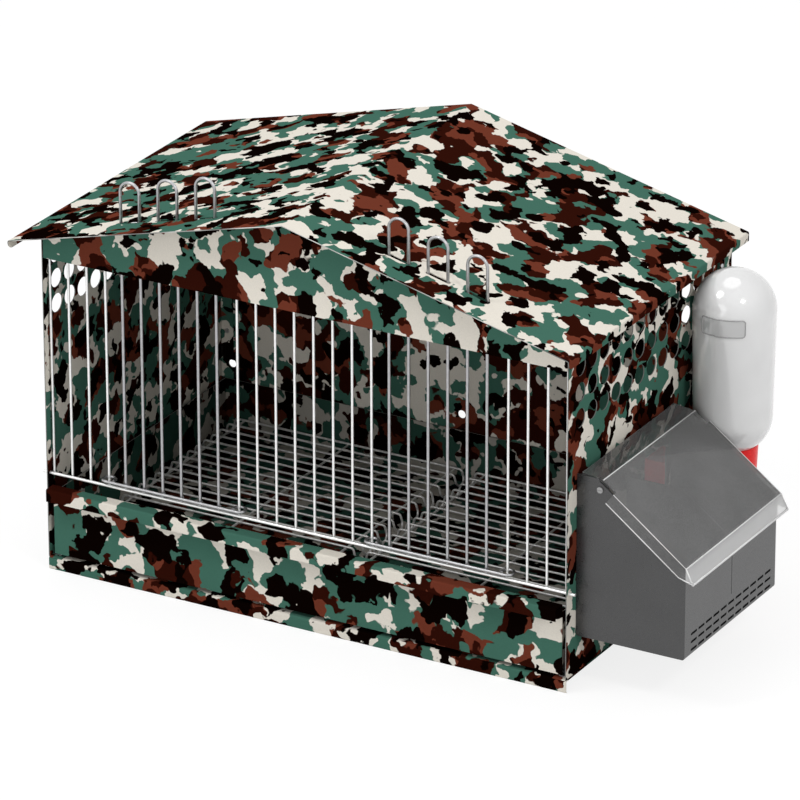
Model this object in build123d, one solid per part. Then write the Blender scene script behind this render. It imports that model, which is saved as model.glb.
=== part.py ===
from build123d import *
from math import atan2, cos, degrees, radians, sin, sqrt
import os

# Small livestock cage: printed sheet body, galvanised wire front and floors, droppings drawer,
# and a plastic feeder and drinker on the right-hand wall. All sizes are in millimetres.
# Modelling frame: X = 0 at mid-width, Y = 0 at the side walls' front edges, Z = 0 on the ground.
# At the end every piece moves so that the origin is the middle of the whole box, on the ground.

# Sheet body
sheet = 1.0
bend_radius = 1.0
cut_reach = 4.0
cage_width = 600.0
wall_depth = 346.6
base_height = 13.5
base_hem = 12.0
hem_end_gap = 9.0
wall_flange = 14.0
flange_relief = 3.0

# Roof and front gable
eave_height = 370.7
roof_rise = 78.3
eave_overhang = 18.1
eave_lip = 9.5
eave_lip_corner = 7.5
roof_front_overhang = 34.0
roof_rear_overhang = 1.4
roof_seat_gap = 0.1
gable_drop = 26.7

# Vent holes in the side walls and the back wall
vent_diameter = 20.0
vent_rows = 3
vent_row_pitch = 27.3
vent_top_drop = 29.9
vent_first = 25.0
vent_column_pitch = 24.8
vent_rear_margin = 20.0
back_vent_inset = 50.6
back_vent_rise = 9.6

# Row of hanging holes in the back wall
hanging_hole_diameter = 9.0
hanging_hole_count = 3
hanging_hole_pitch = 277.6
hanging_hole_inset = 13.3
hanging_hole_height = 103.0

# Droppings drawer and its runners
tray_side_gap = 5.0
tray_rear_gap = 2.1
tray_lift = 15.5
tray_wall_height = 57.4
tray_front_setback = 2.5
tray_front_drop = 11.0
tray_front_height = 77.0
handle_reach = 14.5
handle_drop = 13.5
runner_foot = 10.0
runner_top = 17.0
runner_front_gap = 6.0
runner_rear_gap = 6.0
slide_gap = 0.3

# Wire floors standing in the drawer
grid_wire = 2.4
grid_pitch = 16.2
grid_rear_gap = 6.2
grid_left_gap = 10.8
grid_middle_gap = 7.1
grid_right_gap = 0.7
grid_leg_height = 14.0
grid_leg_lean = 4.0
grid_bend = 3.5
grid_foot_flat = 0.65
grid_cross_inset = 9.0
grid_seat_gap = 0.1
grid_weld = 0.25

# Front bars and their cross wires
bar_diameter = 2.7
bar_count = 28
bar_edge_gap = 3.35
bar_plane = 7.9
bar_tail = 1.6
cross_wire = 3.2
cross_wire_stub = 7.0
sill_gap = 11.5
top_wire_rise = 12.0
weld_gap = 0.02
wire_clearance = 0.15

# Sliding doors: the bar numbers count from the left
hoop_wire = 3.2
hoop_gap = 0.35
hoop_rise = 43.5
hoop_slit_clearance = 1.0
door_wire_rise = 6.0
door_eye_radius = 6.5
door_eye_turn = 290.0
door_legs = 6
left_door_guide = 3
right_door_guide = 17

# Feeder hung on the right wall
feeder_front = 19.0
feeder_length = 200.0
feeder_reach = 120.0
feeder_bottom = 56.0
feeder_height = 173.5
feeder_front_height = 98.0
feeder_top_ledge = 20.7
feeder_wall = 2.0
feeder_corner = 3.0
feeder_far_corner = 4.0
feeder_back_lip = 41.0
feeder_wall_gap = 0.3
divider_thickness = 2.0
divider_gap = 0.3
divider_top_drop = 42.0
divider_slope_drop = 9.0
slot_rows = 3
slot_count = 11
slot_pitch = 16.05
slot_row_pitch = 8.5
slot_length = 13.0
slot_height = 2.6
slot_first_rise = 6.0
seam_width = 0.8
seam_depth = 0.4
feeder_opening_inset = 11.0
feeder_opening_top_drop = 31.5
feeder_opening_corner = 6.0
hook_width = 16.0
hook_inset = 40.0
hook_thickness = 2.0
hook_bend = 0.5
hook_drop = 9.0
hook_gap = 0.6
hook_seat_gap = 0.2

# Feeder lid and its hinge pins
lid_thickness = 2.2
lid_seat_gap = 0.5
lid_side_gap = 0.8
lid_wide_start = 13.0
lid_crease_back = 4.4
lid_wall_gap = 4.2
lid_rear_above_pin = 11.9
lid_front_overhang = 0.4
lid_lip = 16.5
lid_lip_bend = 24.0
lid_bend_radius = 1.0
lid_skirt = 13.5
lid_skirt_corner = 3.0
lid_lug_radius = 4.6
lid_lug_width = 4.5
pin_diameter = 3.0
pin_clearance = 0.05
pin_head_diameter = 6.4
pin_head_height = 1.6
pin_slot_width = 0.8
pin_slot_depth = 0.6
pin_from_wall = 25.7
pin_below_top = 11.5

# Drinker: bottle, socket and trough
bottle_radius = 42.5
bottle_lower_radius = 40.6
bottle_wall = 1.5
bottle_eave_gap = 5.5
bottle_wall_gap = 2.5
bottle_lid_gap = 1.5
bottle_shoulder_radius = 26.3
bottle_neck_radius = 22.2
bottle_neck_length = 39.0
socket_clearance = 0.3
socket_rim_radius = 26.5
socket_foot_radius = 23.8
socket_floor = 2.0
plate_length = 45.0
plate_height = 18.0
plate_rise = 0.8
plate_corner = 3.0
plate_below_top = 47.0
plate_turn = 9.5
trough_bottom = 118.3
trough_height = 28.7
trough_width = 38.0
trough_inside = 43.0
trough_wall = 2.0
trough_clearance = 2.0
trough_seat_gap = 0.3
socket_above_trough = 32.0
collar_border = 5.0
collar_thickness = 2.0

# Blind rivets
rivet_shank = 3.2
rivet_head = 6.4
rivet_head_height = 1.2
rivet_head_rim = 0.24
rivet_tail = 5.0
rivet_tail_height = 1.4
rivet_clearance = 0.05
base_rivet_count = 4
base_rivet_inset = 30.0
back_rivet_count = 4
back_rivet_low = 45.0
back_rivet_high = 330.0

# Sizes worked out from the driving dimensions
half_width = cage_width / 2
wall_inner = half_width - sheet
back_face = wall_depth + sheet
eave_reach = half_width + eave_overhang
ridge_height = eave_height + roof_rise
roof_slope = roof_rise / eave_reach
roof_angle = atan2(roof_rise, eave_reach)
sheet_upright = sheet / cos(roof_angle)
gable_edge = eave_height - gable_drop
tray_half = wall_inner - tray_side_gap
tray_underside = base_height + tray_lift
tray_floor = tray_underside + sheet
tray_rim = tray_underside + tray_wall_height
tray_back = wall_depth - sheet - tray_rear_gap
tray_front_low = tray_underside - tray_front_drop
tray_front_top = tray_front_low + tray_front_height
sill_height = tray_front_top + sill_gap
bar_pitch = 2 * (wall_inner - bar_edge_gap) / (bar_count - 1)
sill_plane = bar_plane - bar_diameter / 2 - cross_wire / 2 - weld_gap
top_wire_plane = bar_plane + bar_diameter / 2 + cross_wire / 2 + weld_gap
top_wire_height = gable_edge + top_wire_rise
hoop_plane = bar_plane - bar_diameter / 2 - hoop_gap - hoop_wire / 2
door_wire_height = sill_height + door_wire_rise
door_wire_plane = bar_plane - door_eye_radius
feeder_back = half_width + feeder_wall_gap
feeder_face = feeder_back + feeder_reach
feeder_far = feeder_front + feeder_length
feeder_middle = feeder_front + feeder_length / 2
feeder_top = feeder_bottom + feeder_height
feeder_front_top = feeder_bottom + feeder_front_height
feeder_ledge_end = feeder_back + feeder_top_ledge
feeder_angle = atan2(feeder_top - feeder_front_top, feeder_face - feeder_ledge_end)
opening_low = feeder_bottom + feeder_back_lip - hook_thickness - hook_seat_gap
opening_high = feeder_top - feeder_opening_top_drop
pin_x = feeder_back + pin_from_wall
pin_z = feeder_top - pin_below_top
slope_end = (feeder_face - pin_x) * cos(feeder_angle) + (pin_z - feeder_front_top) * sin(feeder_angle)
lid_front = slope_end + lid_front_overhang
lid_near = feeder_front - lid_side_gap - lid_thickness
lid_far = feeder_far + lid_side_gap + lid_thickness
bottle_x = half_width + bottle_wall_gap + bottle_radius
bottle_y = lid_far + bottle_lid_gap + bottle_radius
bottle_top = eave_height - bottle_eave_gap
bottle_dome = bottle_top - bottle_radius
trough_rim = trough_bottom + trough_height
socket_rim = trough_rim + socket_above_trough
bottle_shoulder = socket_rim + socket_clearance


def roof_top(x):
    """Height of the roof's upper face at a distance x from mid-width."""
    return ridge_height - roof_slope * abs(x)


def roof_underside(x):
    """Height of the roof's lower face at a distance x from mid-width."""
    return roof_top(x) - sheet_upright


def bar_x(number):
    """Place of a front bar across the cage, counted from the left."""
    return (number - (bar_count - 1) / 2) * bar_pitch


def block(x, y, z):
    """Box between the low and high values of each axis."""
    middle = [(low + high) / 2 for low, high in (x, y, z)]
    size = [high - low for low, high in (x, y, z)]
    return Pos(*middle) * Box(*size)


def rod(start, end, diameter):
    """Round bar between two points."""
    axis = Vector(*end) - Vector(*start)
    return extrude(Plane(Vector(*start), z_dir=axis) * Circle(diameter / 2), amount=axis.length)


def along_y(outline, front, back):
    """Solid of an outline in X and Z, from one depth to another."""
    return extrude(make_face(Plane.XZ.offset(-back) * outline), amount=back - front, dir=(0, -1, 0))


def along_x(outline, left, right):
    """Solid of an outline in Y and Z, from one side to the other."""
    return extrude(make_face(Plane.YZ.offset(left) * outline), amount=right - left, dir=(1, 0, 0))


def along_z(outline, low, high):
    """Solid of an outline in X and Y, from one height to another."""
    return extrude(make_face(Plane.XY.offset(low) * outline), amount=high - low, dir=(0, 0, 1))


def outline_of(points):
    """Closed outline with sharp corners."""
    return Polyline(*points, close=True)


def folded_outline(points, thickness=sheet, bend=bend_radius):
    """Closed outline of a folded strip whose middle line runs through the points."""
    corners = [Vector(*point) for point in points]
    runs = [(b - a).normalized() for a, b in zip(corners, corners[1:])]
    normals = [Vector(-run.Y, run.X) for run in runs]
    left, right = [], []
    left_radii, right_radii = [], []
    for index, corner in enumerate(corners):
        before = normals[max(index - 1, 0)]
        after = normals[min(index, len(normals) - 1)]
        step = (before + after) * (thickness / 2 / (1 + before.dot(after)))
        left.append(corner + step)
        right.append(corner - step)
        at_end = index in (0, len(corners) - 1)
        turn = 0 if at_end else before.cross(after).Z
        left_radii.append(0 if at_end else bend + (thickness if turn < 0 else 0))
        right_radii.append(0 if at_end else bend + (thickness if turn > 0 else 0))
    return FilletPolyline(*left, *reversed(right), radius=left_radii + right_radii[::-1], close=True)


def bent_wire(path, diameter):
    """Round wire along a path of lines and tangent arcs."""
    return sweep(Plane(path @ 0, z_dir=path % 0) * Circle(diameter / 2), path=path)


def rivet(grip):
    """Set rivet along Z: domed head above zero, formed tail below the grip."""
    head = fillet(Cylinder(rivet_head / 2, rivet_head_height, align=(Align.CENTER, Align.CENTER, Align.MIN))
                  .edges().sort_by(Axis.Z)[-1], rivet_head_height - rivet_head_rim)
    shank = Cylinder(rivet_shank / 2, grip, align=(Align.CENTER, Align.CENTER, Align.MAX))
    tail = Pos(0, 0, -grip) * Cylinder(rivet_tail / 2, rivet_tail_height,
                                       align=(Align.CENTER, Align.CENTER, Align.MAX))
    return head + shank + tail


def rivet_hole():
    """Tool that clears a rivet's shank through a stack of sheets, centred on its head's seat."""
    return Cylinder(rivet_shank / 2 + rivet_clearance, 2 * cut_reach)


def group(shapes):
    """Separate solids that share one node."""
    return Compound([solid for shape in shapes for solid in shape.solids()])


def spread(first, last, count):
    """Evenly spaced values from first to last."""
    return [first + (last - first) * index / (count - 1) for index in range(count)]


# Places of the rivets, shared by the rivets and the holes they sit in
runner_web = wall_inner - runner_foot
runner_foot_end = wall_inner - 2 * bend_radius
base_rivet_x = (runner_web + sheet / 2 + bend_radius + runner_foot_end) / 2
base_rivet_rows = spread(base_rivet_inset, wall_depth - base_rivet_inset, base_rivet_count)
base_rivet_seat = base_height + 2 * sheet
back_rivet_x = wall_inner - wall_flange / 2
back_rivet_rows = spread(back_rivet_low, back_rivet_high, back_rivet_count)
hanging_holes = [hanging_hole_inset - half_width + hanging_hole_pitch * n for n in range(hanging_hole_count)]
bar_numbers = range(bar_count)
left_door_bars = range(left_door_guide + 1, left_door_guide + 1 + door_legs)
right_door_bars = range(right_door_guide + 1, right_door_guide + 1 + door_legs)
fixed_bars = [n for n in bar_numbers if n not in left_door_bars and n not in right_door_bars]


def both_base_rivets():
    """Places of the rivets that hold runners and walls to the base plate."""
    return [Pos(side * base_rivet_x, y, base_rivet_seat) for side in (-1, 1) for y in base_rivet_rows]


def both_back_rivets():
    """Places of the rivets that hold the back wall, heads outside."""
    return [Pos(side * back_rivet_x, back_face, z) * Rot(-90, 0, 0)
            for side in (-1, 1) for z in back_rivet_rows]


def hanging_hole_tools():
    """Round tools through the back wall and whatever flange lies in front of it."""
    front, back = back_face - cut_reach, back_face + cut_reach
    return [rod((x, front, hanging_hole_height), (x, back, hanging_hole_height), hanging_hole_diameter)
            for x in hanging_holes]


def base_plate():
    """Folded sheet with front and rear flanges, hemmed inwards where it stands, short of its ends."""
    half = sheet / 2
    points = [(base_hem, half), (half, half), (half, base_height - half),
              (back_face - half, base_height - half), (back_face - half, half), (back_face - base_hem, half)]
    plate = along_x(folded_outline(points), -half_width, half_width)
    fold = sheet + bend_radius
    hem_end = half_width - hem_end_gap
    for x in ((-half_width - sheet, -hem_end), (hem_end, half_width + sheet)):
        for y in ((fold, base_hem + sheet), (back_face - base_hem - sheet, back_face - fold)):
            plate -= block(x, y, (-sheet, fold))
    return plate - [place * rivet_hole() for place in both_base_rivets()]


def side_wall(side):
    """Side wall with bottom, rear and top flanges folded inwards; side is -1 or 1."""
    middle = half_width - sheet / 2
    foot = [(wall_inner - wall_flange, base_height + sheet / 2), (middle, base_height + sheet / 2),
            (middle, roof_underside(half_width))]
    wall = along_y(folded_outline(foot), 0, wall_depth)
    rear = block((wall_inner - wall_flange, wall_inner), (wall_depth - sheet, wall_depth),
                 (base_height + sheet + flange_relief, gable_edge))
    under_roof = roof_underside(middle) - sheet_upright / 2
    top_points = [(middle, under_roof - wall_flange / 2), (middle, under_roof),
                  (middle - wall_flange, under_roof + roof_slope * wall_flange)]
    relief = wall_flange + flange_relief
    top = along_y(folded_outline(top_points), relief, wall_depth - flange_relief)
    wall = wall + rear + top
    columns = int((wall_depth - vent_first - vent_rear_margin) / vent_column_pitch) + 1
    for row in range(vent_rows):
        z = eave_height - vent_top_drop - row * vent_row_pitch
        wall -= [rod((wall_inner - sheet, vent_first + n * vent_column_pitch, z),
                     (half_width + sheet, vent_first + n * vent_column_pitch, z), vent_diameter)
                 for n in range(columns)]
    wire_hole = cross_wire + 2 * wire_clearance
    for y, z in ((sill_plane, sill_height), (top_wire_plane, top_wire_height)):
        wall -= rod((wall_inner - 2 * sheet, y, z), (half_width + sheet, y, z), wire_hole)
    if side < 0:
        wall = mirror(wall, about=Plane.YZ)
    wall -= [place * rivet_hole() for place in both_base_rivets() + both_back_rivets()]
    return wall - hanging_hole_tools()


def right_wall():
    """Right-hand wall with the feeder opening and the drinker cut-out."""
    across = (half_width - cut_reach, half_width + cut_reach)
    along = (feeder_front + feeder_opening_inset, feeder_far - feeder_opening_inset)
    opening = block(across, along, (opening_low, opening_high))
    opening = fillet(opening.edges().filter_by(Axis.X), feeder_opening_corner)
    cut_half = trough_width / 2 + trough_clearance
    cut_out = block(across, (bottle_y - cut_half, bottle_y + cut_half),
                    (trough_bottom - trough_seat_gap, trough_rim + trough_clearance))
    return side_wall(1) - opening - cut_out


def back_wall():
    """Gable-shaped back sheet with the hanging holes and vents."""
    eave = roof_underside(half_width) - roof_seat_gap
    points = [(-half_width, base_height), (half_width, base_height), (half_width, eave),
              (0, roof_underside(0) - roof_seat_gap), (-half_width, eave)]
    wall = along_y(outline_of(points), wall_depth, back_face)
    low_row = eave_height - vent_top_drop - (vent_rows - 1) * vent_row_pitch
    vent_x = half_width - back_vent_inset
    back_row = low_row + back_vent_rise
    for z in (back_row, back_row - vent_row_pitch):
        wall -= [rod((x, wall_depth - sheet, z), (x, back_face + sheet, z), vent_diameter)
                 for x in (-vent_x, vent_x)]
    wall -= [place * rivet_hole() for place in both_back_rivets()]
    return wall - hanging_hole_tools()


def front_gable():
    """Front panel above the bars, returned along both side walls."""
    side = wall_inner - sheet / 2
    points = [(-side, wall_flange), (-side, sheet / 2), (side, sheet / 2), (side, wall_flange)]
    panel = along_z(folded_outline(points), gable_edge, ridge_height)
    eave = roof_underside(half_width) - roof_seat_gap
    under_roof = outline_of([(-half_width, 0), (half_width, 0), (half_width, eave),
                             (0, roof_underside(0) - roof_seat_gap), (-half_width, eave)])
    panel &= along_y(under_roof, -sheet, wall_flange + sheet)
    wire_start = (-half_width, top_wire_plane, top_wire_height)
    wire_end = (half_width, top_wire_plane, top_wire_height)
    return panel - rod(wire_start, wire_end, cross_wire + 2 * wire_clearance)


def hoop_middles():
    """Mid-places of the door hoops across the cage."""
    starts = list(left_door_bars)[::2] + list(right_door_bars)[::2]
    return [(bar_x(n) + bar_x(n + 1)) / 2 for n in starts]


def roof():
    """One sheet folded at the ridge and the eaves, slit for the door hoops."""
    lip_x = eave_reach - sheet / 2
    top = ridge_height - sheet_upright / 2
    fold = top - roof_slope * lip_x
    low = eave_height - eave_lip
    points = [(-lip_x, low), (-lip_x, fold), (0, top), (lip_x, fold), (lip_x, low)]
    front = -roof_front_overhang
    panel = along_y(folded_outline(points), front, back_face + roof_rear_overhang)
    corners = [edge for edge in panel.edges().filter_by(Axis.X)
               if abs(edge.center().Y - front) < sheet / 4 and abs(edge.center().Z - low) < sheet / 4]
    panel = fillet(corners, eave_lip_corner)
    length = bar_pitch + hoop_wire + 2 * hoop_slit_clearance
    width = hoop_wire + 2 * hoop_slit_clearance
    slit = extrude(SlotOverall(length, width), amount=wall_flange, both=True)
    return panel - [Pos(x, hoop_plane, roof_top(x)) * slit for x in hoop_middles()]


def tray_runner(side):
    """Z-section runner riveted to the wall flange; side is -1 or 1."""
    foot = base_height + 1.5 * sheet
    top = tray_underside - slide_gap - sheet / 2
    points = [(runner_foot_end, foot), (runner_web, foot), (runner_web, top), (runner_web - runner_top, top)]
    runner = along_y(folded_outline(points), runner_front_gap, wall_depth - sheet - runner_rear_gap)
    if side < 0:
        runner = mirror(runner, about=Plane.YZ)
    return runner - [place * rivet_hole() for place in both_base_rivets()]


def droppings_tray():
    """Open box that slides on the runners."""
    front = tray_front_setback + sheet
    outer = block((-tray_half, tray_half), (front, tray_back), (tray_underside, tray_rim))
    inner = block((sheet - tray_half, tray_half - sheet), (front + sheet, tray_back - sheet),
                  (tray_floor, tray_rim + sheet))
    return outer - inner


def tray_front():
    """Drawer front, folded forwards and down into a full-width handle."""
    face = tray_front_setback + sheet / 2
    ledge = tray_front_top - sheet / 2
    lip = tray_front_setback - handle_reach + sheet / 2
    points = [(face, tray_front_low), (face, ledge), (lip, ledge), (lip, tray_front_top - handle_drop)]
    return along_x(folded_outline(points), -tray_half, tray_half)


def floor_grid(left, right):
    """Welded wire floor between two outer faces: wire loops bent down at both ends, on three cross wires."""
    radius = grid_wire / 2
    foot = tray_floor + grid_seat_gap + radius
    level = foot + grid_leg_height
    foot_left = left + radius
    foot_right = right - radius
    top_left = foot_left + grid_leg_lean
    top_right = foot_right - grid_leg_lean
    depth = tray_back - tray_front_setback - 3 * sheet
    pairs = int((depth - grid_rear_gap) / (2 * grid_pitch))
    last = tray_back - sheet - grid_rear_gap
    near, far = 0, grid_pitch
    corners = [(top_left, near, level), (top_right, near, level), (foot_right, near, foot),
               (foot_right, far, foot), (top_right, far, level), (top_left, far, level),
               (foot_left, far, foot), (foot_left, near, foot)]
    foot_bend = grid_pitch / 2 - grid_foot_flat
    radii = [grid_bend, grid_bend, foot_bend, foot_bend, grid_bend, grid_bend, foot_bend, foot_bend]
    middle = (top_left + top_right) / 2
    loop_path = FilletPolyline(*corners, radius=radii, close=True)
    section = Plane((middle, near, level), z_dir=(1, 0, 0)) * Circle(radius)
    loop = sweep(section, path=loop_path)
    first = last - (2 * pairs - 1) * grid_pitch
    loops = [Pos(0, first + 2 * n * grid_pitch, 0) * loop for n in range(pairs)]
    under = level - grid_wire + grid_weld
    cross_x = (top_left + grid_cross_inset, middle, top_right - grid_cross_inset)
    crosses = [rod((x, first - radius, under), (x, last + radius, under), grid_wire) for x in cross_x]
    grid = loops[0]
    return grid + loops[1:] + crosses


def front_bars():
    """Fixed upright bars of the front."""
    low = sill_height - bar_tail
    high = top_wire_height + bar_tail
    places = [bar_x(n) for n in fixed_bars]
    return group(rod((x, bar_plane, low), (x, bar_plane, high), bar_diameter) for x in places)


def grille_bottom_wire():
    """Cross wire in front of the bars, its ends through the side walls."""
    reach = half_width + cross_wire_stub
    return rod((-reach, sill_plane, sill_height), (reach, sill_plane, sill_height), cross_wire)


def grille_top_wire():
    """Cross wire behind the bars and the gable, flush with the side walls."""
    return rod((-half_width, top_wire_plane, top_wire_height), (half_width, top_wire_plane, top_wire_height),
               cross_wire)


def door_bottom_wire(guide):
    """Door's cross wire, its ends curled round the guide bars."""
    left, right = bar_x(guide), bar_x(guide + door_legs + 1)
    start_angle = -90 - door_eye_turn
    flat = (CenterArc((left, bar_plane), door_eye_radius, start_angle, door_eye_turn)
            + Line((left, door_wire_plane), (right, door_wire_plane))
            + CenterArc((right, bar_plane), door_eye_radius, -90, door_eye_turn))
    return bent_wire(Wire((Pos(0, 0, door_wire_height) * flat).edges()), hoop_wire)


def door_hoop(number):
    """Inverted U through the roof: two door legs joined by a finger loop on top."""
    left, right = bar_x(number), bar_x(number + 1)
    bend = bar_pitch / 2
    low = sill_height + cross_wire / 2 + slide_gap
    spring = roof_top((left + right) / 2) + hoop_rise - hoop_wire / 2 - bend
    flat = (Line((left, low), (left, spring))
            + CenterArc(((left + right) / 2, spring), bend, 180, -180)
            + Line((right, spring), (right, low)))
    return bent_wire(Wire((Plane.XZ.offset(-hoop_plane) * flat).edges()), hoop_wire)


def feeder_profile():
    """Outline of the feeder in X and Z."""
    points = [(feeder_back, feeder_bottom), (feeder_face, feeder_bottom), (feeder_face, feeder_front_top),
              (feeder_ledge_end, feeder_top), (feeder_back, feeder_top)]
    return FilletPolyline(*points, radius=[feeder_corner, feeder_corner, feeder_wall / 2, feeder_wall / 2, 0],
                          close=True)


def feeder_body():
    """Hopper with two cheeks, a front with grit slots, a low back lip and two hooks."""
    body = along_y(feeder_profile(), feeder_front, feeder_far)
    far_edge = body.edges().filter_by(Axis.X).group_by(Axis.Z)[0].sort_by(Axis.Y)[-1]
    body = fillet(far_edge, feeder_far_corner)
    lip_top = feeder_bottom + feeder_back_lip
    inside_back = feeder_back + feeder_wall
    inside_front = feeder_face - feeder_wall
    inside_floor = feeder_bottom + feeder_wall
    outside_back = feeder_back - feeder_reach
    over = feeder_top + feeder_reach
    cavity = [(inside_back, inside_floor), (inside_front, inside_floor), (inside_front, over),
              (outside_back, over), (outside_back, lip_top), (inside_back, lip_top)]
    inner_corner = feeder_corner - feeder_wall
    outline = FilletPolyline(*cavity, radius=[inner_corner, inner_corner, 0, 0, 0, 0], close=True)
    body -= along_y(outline, feeder_front + feeder_wall, feeder_far - feeder_wall)
    for row in range(slot_rows):
        z = feeder_bottom + slot_first_rise + row * slot_row_pitch
        for n in range(slot_count):
            y = feeder_middle + (n - (slot_count - 1) / 2) * slot_pitch
            slot_plane = Plane((feeder_face, y, z), x_dir=(0, 1, 0), z_dir=(1, 0, 0))
            slot = slot_plane * SlotOverall(slot_length, slot_height)
            body -= extrude(slot, amount=2 * feeder_wall, both=True)
    slots_top = feeder_bottom + slot_first_rise + slot_rows * slot_row_pitch
    body -= block((feeder_face - seam_depth, feeder_face + seam_depth),
                  (feeder_middle - seam_width / 2, feeder_middle + seam_width / 2), (slots_top, over))
    for y in (feeder_front + hook_inset, feeder_far - hook_inset):
        body += feeder_hook(y, lip_top)
    pin_hole = pin_diameter + 2 * pin_clearance
    return body - rod((pin_x, lid_near, pin_z), (pin_x, lid_far, pin_z), pin_hole)


def feeder_hook(y, top):
    """Hook from the hopper's back lip over the lower edge of the wall opening."""
    level = top - hook_thickness / 2
    hanging = wall_inner - hook_gap - hook_thickness / 2
    points = [(feeder_back + feeder_wall, level), (hanging, level), (hanging, top - hook_drop)]
    outline = folded_outline(points, hook_thickness, hook_bend)
    return along_y(outline, y - hook_width / 2, y + hook_width / 2)


def feeder_divider():
    """Plate that splits the hopper into two compartments."""
    back = feeder_back + feeder_wall + divider_gap
    face = feeder_face - feeder_wall - divider_gap
    low = feeder_bottom + feeder_wall + divider_gap
    high = feeder_top - divider_top_drop
    fall = (feeder_top - feeder_front_top) / (feeder_face - feeder_ledge_end)
    front_high = feeder_front_top + fall * (feeder_face - face) - divider_slope_drop
    slope_back = face - (high - front_high) / fall
    points = [(back, low), (face, low), (face, front_high), (slope_back, high), (back, high)]
    foot_corner = feeder_corner - feeder_wall
    outline = FilletPolyline(*points, radius=[foot_corner, foot_corner, 0, 0, 0], close=True)
    return along_y(outline, feeder_middle - divider_thickness / 2, feeder_middle + divider_thickness / 2)


def lid_point(along, above):
    """Place in X and Z from steps along the lid's slope and square to it, counted from the hinge pin."""
    return (pin_x + along * cos(feeder_angle) + above * sin(feeder_angle),
            pin_z - along * sin(feeder_angle) + above * cos(feeder_angle))


def feeder_lid():
    """Clear lid: sloping panel with a rear strip, front lip, side skirts and hinge lugs."""
    edge_above = ((feeder_ledge_end - pin_x) * sin(feeder_angle) + (feeder_top - pin_z) * cos(feeder_angle))
    under = edge_above + lid_seat_gap
    middle = under + lid_thickness / 2
    upper = under + lid_thickness
    bend = radians(lid_lip_bend)
    crease = lid_point(-lid_crease_back, middle)
    front = lid_point(lid_front, middle)
    tip = lid_point(lid_front + lid_lip * cos(bend), middle - lid_lip * sin(bend))
    rear = (half_width + lid_wall_gap, pin_z + lid_rear_above_pin)
    inner_near = feeder_front + feeder_wall + lid_side_gap
    inner_far = feeder_far - feeder_wall - lid_side_gap
    tongue = along_y(folded_outline([rear, crease, lid_point(lid_wide_start + lid_skirt, middle)],
                                    lid_thickness, lid_bend_radius), inner_near, inner_far)
    panel = along_y(folded_outline([lid_point(lid_wide_start, middle), front, tip],
                                   lid_thickness, lid_bend_radius), lid_near, lid_far)
    skirt_low = upper - lid_skirt
    skirt_points = [lid_point(lid_wide_start, skirt_low), lid_point(lid_front, skirt_low), tip, front,
                    lid_point(lid_wide_start, middle)]
    skirt = FilletPolyline(*skirt_points, radius=[lid_skirt_corner, lid_skirt_corner, 0, 0, 0], close=True)
    lid = tongue + panel
    for y in (lid_near, lid_far - lid_thickness):
        lid += along_y(skirt, y, y + lid_thickness)
    for y in (inner_near, inner_far - lid_lug_width):
        lug = rod((pin_x, y, pin_z), (pin_x, y + lid_lug_width, pin_z), 2 * lid_lug_radius)
        web = outline_of([lid_point(-lid_lug_radius, 0), lid_point(lid_lug_radius, 0),
                          lid_point(lid_lug_radius, middle), lid_point(-lid_crease_back, middle)])
        lid += lug + along_y(web, y, y + lid_lug_width)
    return lid - rod((pin_x, lid_near, pin_z), (pin_x, lid_far, pin_z), pin_diameter + 2 * pin_clearance)


def feeder_lid_pins():
    """Two slotted pins through the cheeks into the lid's lugs."""
    pins = []
    reach = feeder_wall + lid_side_gap + lid_lug_width
    for cheek, inward in ((feeder_front, 1), (feeder_far, -1)):
        shank = rod((pin_x, cheek, pin_z), (pin_x, cheek + inward * reach, pin_z), pin_diameter)
        head_end = cheek - inward * pin_head_height
        head = rod((pin_x, cheek, pin_z), (pin_x, head_end, pin_z), pin_head_diameter)
        slot = Pos(pin_x, head_end, pin_z) * Box(pin_head_diameter * 2, 2 * pin_slot_depth, pin_slot_width)
        pins.append(shank + head - slot)
    return group(pins)


def bottle_outline(outer):
    """Half outline of the bottle's shell at a distance inside its outer face; zero is outside."""
    upper = bottle_radius - outer
    lower = bottle_lower_radius - outer
    dome_rise = sqrt(bottle_lower_radius**2 - bottle_shoulder_radius**2)
    shoulder_angle = degrees(atan2(dome_rise, bottle_shoulder_radius))
    lower_dome = bottle_shoulder + dome_rise
    return (CenterArc((0, lower_dome), lower, -shoulder_angle, shoulder_angle)
            + Line((lower, lower_dome), (upper, bottle_dome))
            + CenterArc((0, bottle_dome), upper, 0, 90))


def bottle_solid(inset, neck_low):
    """Turned solid of the bottle at an inset from its outer face, about the Z axis."""
    shell = Wire(bottle_outline(inset).edges())
    neck = bottle_neck_radius - inset
    low, high = sorted((shell @ 0, shell @ 1), key=lambda point: point.Y)
    rest = Polyline((high.X, high.Y), (0, neck_low), (neck, neck_low), (neck, low.Y), (low.X, low.Y))
    return revolve(Plane.XZ * make_face(shell.edges() + rest.edges()), Axis.Z)


def drinker_bottle():
    """Upturned bottle with a domed end, a neck and a raised bare plate."""
    neck_low = bottle_shoulder - bottle_neck_length
    outside = bottle_solid(0, neck_low)
    inside = bottle_solid(bottle_wall, neck_low - bottle_wall)
    plate_face = Plane((0, 0, bottle_top - plate_below_top), x_dir=(1, 0, 0), z_dir=(0, -1, 0))
    plate_outline = plate_face * RectangleRounded(plate_length, plate_height, plate_corner)
    plate = extrude(plate_outline, amount=2 * bottle_radius)
    raised = (bottle_solid(-plate_rise, neck_low) & plate) - inside
    return Pos(bottle_x, bottle_y, 0) * (outside - inside + Rot(0, 0, plate_turn) * raised)


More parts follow.
